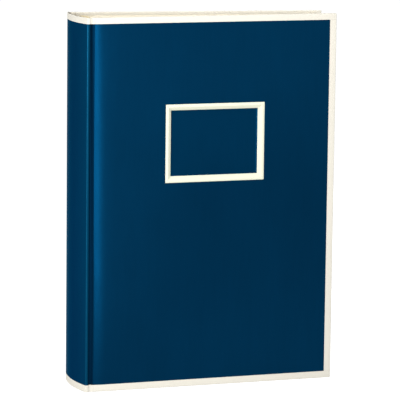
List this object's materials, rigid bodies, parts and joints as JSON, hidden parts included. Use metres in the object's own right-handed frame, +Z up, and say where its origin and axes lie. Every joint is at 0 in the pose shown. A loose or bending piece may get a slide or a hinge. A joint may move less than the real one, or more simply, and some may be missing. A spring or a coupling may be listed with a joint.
{
  "type": "scrapbook album",
  "caption": "Tall case-bound album with a rounded spine, cloth covers edged in paper, a recessed label window and a block of guarded leaves that fan open.",
  "frame": {"origin": "on the resting plane, under the centre of the album's bounding box", "axes": "+Z up along the spine from tail to head, +X from the spine to the fore-edge, front cover facing -Y"},
  "size_m": [0.2398, 0.064, 0.3366],
  "materials": {
    "navy_bookcloth": "smooth woven bookcloth with a soft satin sheen",
    "cream_edging": "smooth matt paper wrap",
    "cream_leaf": "heavy uncoated album card",
    "grey_board": "dense binder's board",
    "guard_card": "uncoated guard strips",
    "lining_cloth": "open lining cloth",
    "band_cloth": "woven headband tape"
  },
  "bodies": {
    "spine": {"spine_inlay": "grey_board", "spine_cloth": "navy_bookcloth", "spine_head_trim": "cream_edging", "spine_tail_trim": "cream_edging", "front_joint_cloth": "navy_bookcloth", "back_joint_cloth": "navy_bookcloth", "spine_lining": "lining_cloth", "tail_band": "band_cloth", "head_band": "band_cloth", "guard_section_1": "guard_card", "guard_section_2": "guard_card", "guard_section_3": "guard_card", "guard_section_4": "guard_card", "guard_section_5": "guard_card", "guard_section_6": "guard_card", "guard_section_7": "guard_card"},
    "front_cover": {"front_board": "grey_board", "front_cover_cloth": "navy_bookcloth", "front_pastedown": "cream_edging", "front_head_trim": "cream_edging", "front_tail_trim": "cream_edging", "front_fore_edge_trim": "cream_edging", "label_frame": "cream_edging", "label_panel": "navy_bookcloth"},
    "back_cover": {"back_board": "grey_board", "back_cover_cloth": "navy_bookcloth", "back_pastedown": "cream_edging", "back_head_trim": "cream_edging", "back_tail_trim": "cream_edging", "back_fore_edge_trim": "cream_edging"},
    "front_flyleaf": {"front_flyleaf": "cream_leaf"},
    "leaf_01": {"leaf_01": "cream_leaf"},
    "leaf_02": {"leaf_02": "cream_leaf"},
    "leaf_03": {"leaf_03": "cream_leaf"},
    "leaf_04": {"leaf_04": "cream_leaf"},
    "leaf_05": {"leaf_05": "cream_leaf"},
    "leaf_06": {"leaf_06": "cream_leaf"},
    "leaf_07": {"leaf_07": "cream_leaf"},
    "leaf_08": {"leaf_08": "cream_leaf"},
    "leaf_09": {"leaf_09": "cream_leaf"},
    "leaf_10": {"leaf_10": "cream_leaf"},
    "leaf_11": {"leaf_11": "cream_leaf"},
    "leaf_12": {"leaf_12": "cream_leaf"},
    "leaf_13": {"leaf_13": "cream_leaf"},
    "leaf_14": {"leaf_14": "cream_leaf"},
    "leaf_15": {"leaf_15": "cream_leaf"},
    "leaf_16": {"leaf_16": "cream_leaf"},
    "leaf_17": {"leaf_17": "cream_leaf"},
    "leaf_18": {"leaf_18": "cream_leaf"},
    "leaf_19": {"leaf_19": "cream_leaf"},
    "leaf_20": {"leaf_20": "cream_leaf"},
    "leaf_21": {"leaf_21": "cream_leaf"},
    "leaf_22": {"leaf_22": "cream_leaf"},
    "leaf_23": {"leaf_23": "cream_leaf"},
    "leaf_24": {"leaf_24": "cream_leaf"},
    "leaf_25": {"leaf_25": "cream_leaf"},
    "leaf_26": {"leaf_26": "cream_leaf"},
    "leaf_27": {"leaf_27": "cream_leaf"},
    "leaf_28": {"leaf_28": "cream_leaf"},
    "back_flyleaf": {"back_flyleaf": "cream_leaf"}
  },
  "joints": [
    {"name": "front_cover_open", "type": "hinge", "parent": "spine", "child": "front_cover", "pos_m": [-0.1134, -0.0321, 0.1683], "axis": [0, 0, -1], "range_deg": [0, 180], "deforming": ["front_joint_cloth"]},
    {"name": "back_cover_open", "type": "hinge", "parent": "spine", "child": "back_cover", "pos_m": [-0.1134, 0.0321, 0.1683], "axis": [0, 0, 1], "range_deg": [0, 180], "deforming": ["back_joint_cloth"]},
    {"name": "front_flyleaf_turn", "type": "hinge", "parent": "spine", "child": "front_flyleaf", "pos_m": [-0.1005, -0.02656, 0.1683], "axis": [0, 0, -1], "range_deg": [0, 72]},
    {"name": "leaf_01_turn", "type": "hinge", "parent": "spine", "child": "leaf_01", "pos_m": [-0.1005, -0.02478, 0.1683], "axis": [0, 0, -1], "range_deg": [0, 67.2]},
    {"name": "leaf_02_turn", "type": "hinge", "parent": "spine", "child": "leaf_02", "pos_m": [-0.1005, -0.023, 0.1683], "axis": [0, 0, -1], "range_deg": [0, 62.4]},
    {"name": "leaf_03_turn", "type": "hinge", "parent": "spine", "child": "leaf_03", "pos_m": [-0.1005, -0.02121, 0.1683], "axis": [0, 0, -1], "range_deg": [0, 57.6]},
    {"name": "leaf_04_turn", "type": "hinge", "parent": "spine", "child": "leaf_04", "pos_m": [-0.1005, -0.01943, 0.1683], "axis": [0, 0, -1], "range_deg": [0, 52.8]},
    {"name": "leaf_05_turn", "type": "hinge", "parent": "spine", "child": "leaf_05", "pos_m": [-0.1005, -0.01765, 0.1683], "axis": [0, 0, -1], "range_deg": [0, 48]},
    {"name": "leaf_06_turn", "type": "hinge", "parent": "spine", "child": "leaf_06", "pos_m": [-0.1005, -0.01587, 0.1683], "axis": [0, 0, -1], "range_deg": [0, 43.2]},
    {"name": "leaf_07_turn", "type": "hinge", "parent": "spine", "child": "leaf_07", "pos_m": [-0.1005, -0.01409, 0.1683], "axis": [0, 0, -1], "range_deg": [0, 38.4]},
    {"name": "leaf_08_turn", "type": "hinge", "parent": "spine", "child": "leaf_08", "pos_m": [-0.1005, -0.01231, 0.1683], "axis": [0, 0, -1], "range_deg": [0, 33.6]},
    {"name": "leaf_09_turn", "type": "hinge", "parent": "spine", "child": "leaf_09", "pos_m": [-0.1005, -0.01052, 0.1683], "axis": [0, 0, -1], "range_deg": [0, 28.8]},
    {"name": "leaf_10_turn", "type": "hinge", "parent": "spine", "child": "leaf_10", "pos_m": [-0.1005, -0.00874, 0.1683], "axis": [0, 0, -1], "range_deg": [0, 24]},
    {"name": "leaf_11_turn", "type": "hinge", "parent": "spine", "child": "leaf_11", "pos_m": [-0.1005, -0.00696, 0.1683], "axis": [0, 0, -1], "range_deg": [0, 19.2]},
    {"name": "leaf_12_turn", "type": "hinge", "parent": "spine", "child": "leaf_12", "pos_m": [-0.1005, -0.00518, 0.1683], "axis": [0, 0, -1], "range_deg": [0, 14.4]},
    {"name": "leaf_13_turn", "type": "hinge", "parent": "spine", "child": "leaf_13", "pos_m": [-0.1005, -0.0034, 0.1683], "axis": [0, 0, -1], "range_deg": [0, 9.6]},
    {"name": "leaf_14_turn", "type": "hinge", "parent": "spine", "child": "leaf_14", "pos_m": [-0.1005, -0.00162, 0.1683], "axis": [0, 0, -1], "range_deg": [0, 4.8]},
    {"name": "leaf_15_turn", "type": "hinge", "parent": "spine", "child": "leaf_15", "pos_m": [-0.1005, 0.00017, 0.1683], "axis": [0, 0, 1], "range_deg": [0, 4.8]},
    {"name": "leaf_16_turn", "type": "hinge", "parent": "spine", "child": "leaf_16", "pos_m": [-0.1005, 0.00195, 0.1683], "axis": [0, 0, 1], "range_deg": [0, 9.6]},
    {"name": "leaf_17_turn", "type": "hinge", "parent": "spine", "child": "leaf_17", "pos_m": [-0.1005, 0.00373, 0.1683], "axis": [0, 0, 1], "range_deg": [0, 14.4]},
    {"name": "leaf_18_turn", "type": "hinge", "parent": "spine", "child": "leaf_18", "pos_m": [-0.1005, 0.00551, 0.1683], "axis": [0, 0, 1], "range_deg": [0, 19.2]},
    {"name": "leaf_19_turn", "type": "hinge", "parent": "spine", "child": "leaf_19", "pos_m": [-0.1005, 0.00729, 0.1683], "axis": [0, 0, 1], "range_deg": [0, 24]},
    {"name": "leaf_20_turn", "type": "hinge", "parent": "spine", "child": "leaf_20", "pos_m": [-0.1005, 0.00907, 0.1683], "axis": [0, 0, 1], "range_deg": [0, 28.8]},
    {"name": "leaf_21_turn", "type": "hinge", "parent": "spine", "child": "leaf_21", "pos_m": [-0.1005, 0.01086, 0.1683], "axis": [0, 0, 1], "range_deg": [0, 33.6]},
    {"name": "leaf_22_turn", "type": "hinge", "parent": "spine", "child": "leaf_22", "pos_m": [-0.1005, 0.01264, 0.1683], "axis": [0, 0, 1], "range_deg": [0, 38.4]},
    {"name": "leaf_23_turn", "type": "hinge", "parent": "spine", "child": "leaf_23", "pos_m": [-0.1005, 0.01442, 0.1683], "axis": [0, 0, 1], "range_deg": [0, 43.2]},
    {"name": "leaf_24_turn", "type": "hinge", "parent": "spine", "child": "leaf_24", "pos_m": [-0.1005, 0.0162, 0.1683], "axis": [0, 0, 1], "range_deg": [0, 48]},
    {"name": "leaf_25_turn", "type": "hinge", "parent": "spine", "child": "leaf_25", "pos_m": [-0.1005, 0.01798, 0.1683], "axis": [0, 0, 1], "range_deg": [0, 52.8]},
    {"name": "leaf_26_turn", "type": "hinge", "parent": "spine", "child": "leaf_26", "pos_m": [-0.1005, 0.01976, 0.1683], "axis": [0, 0, 1], "range_deg": [0, 57.6]},
    {"name": "leaf_27_turn", "type": "hinge", "parent": "spine", "child": "leaf_27", "pos_m": [-0.1005, 0.02155, 0.1683], "axis": [0, 0, 1], "range_deg": [0, 62.4]},
    {"name": "leaf_28_turn", "type": "hinge", "parent": "spine", "child": "leaf_28", "pos_m": [-0.1005, 0.02333, 0.1683], "axis": [0, 0, 1], "range_deg": [0, 67.2]},
    {"name": "back_flyleaf_turn", "type": "hinge", "parent": "spine", "child": "back_flyleaf", "pos_m": [-0.1005, 0.02511, 0.1683], "axis": [0, 0, 1], "range_deg": [0, 72]}
  ],
  "couplings": [
    {"joint": "front_flyleaf_turn", "follows": "front_cover_open", "ratio": 0.4},
    {"joint": "leaf_01_turn", "follows": "front_cover_open", "ratio": 0.37333},
    {"joint": "leaf_02_turn", "follows": "front_cover_open", "ratio": 0.34667},
    {"joint": "leaf_03_turn", "follows": "front_cover_open", "ratio": 0.32},
    {"joint": "leaf_04_turn", "follows": "front_cover_open", "ratio": 0.29333},
    {"joint": "leaf_05_turn", "follows": "front_cover_open", "ratio": 0.26667},
    {"joint": "leaf_06_turn", "follows": "front_cover_open", "ratio": 0.24},
    {"joint": "leaf_07_turn", "follows": "front_cover_open", "ratio": 0.21333},
    {"joint": "leaf_08_turn", "follows": "front_cover_open", "ratio": 0.18667},
    {"joint": "leaf_09_turn", "follows": "front_cover_open", "ratio": 0.16},
    {"joint": "leaf_10_turn", "follows": "front_cover_open", "ratio": 0.13333},
    {"joint": "leaf_11_turn", "follows": "front_cover_open", "ratio": 0.10667},
    {"joint": "leaf_12_turn", "follows": "front_cover_open", "ratio": 0.08},
    {"joint": "leaf_13_turn", "follows": "front_cover_open", "ratio": 0.053333},
    {"joint": "leaf_14_turn", "follows": "front_cover_open", "ratio": 0.026666},
    {"joint": "leaf_15_turn", "follows": "back_cover_open", "ratio": 0.026666},
    {"joint": "leaf_16_turn", "follows": "back_cover_open", "ratio": 0.053333},
    {"joint": "leaf_17_turn", "follows": "back_cover_open", "ratio": 0.08},
    {"joint": "leaf_18_turn", "follows": "back_cover_open", "ratio": 0.10667},
    {"joint": "leaf_19_turn", "follows": "back_cover_open", "ratio": 0.13333},
    {"joint": "leaf_20_turn", "follows": "back_cover_open", "ratio": 0.16},
    {"joint": "leaf_21_turn", "follows": "back_cover_open", "ratio": 0.18667},
    {"joint": "leaf_22_turn", "follows": "back_cover_open", "ratio": 0.21333},
    {"joint": "leaf_23_turn", "follows": "back_cover_open", "ratio": 0.24},
    {"joint": "leaf_24_turn", "follows": "back_cover_open", "ratio": 0.26667},
    {"joint": "leaf_25_turn", "follows": "back_cover_open", "ratio": 0.29333},
    {"joint": "leaf_26_turn", "follows": "back_cover_open", "ratio": 0.32},
    {"joint": "leaf_27_turn", "follows": "back_cover_open", "ratio": 0.34667},
    {"joint": "leaf_28_turn", "follows": "back_cover_open", "ratio": 0.37333},
    {"joint": "back_flyleaf_turn", "follows": "back_cover_open", "ratio": 0.4}
  ]
}
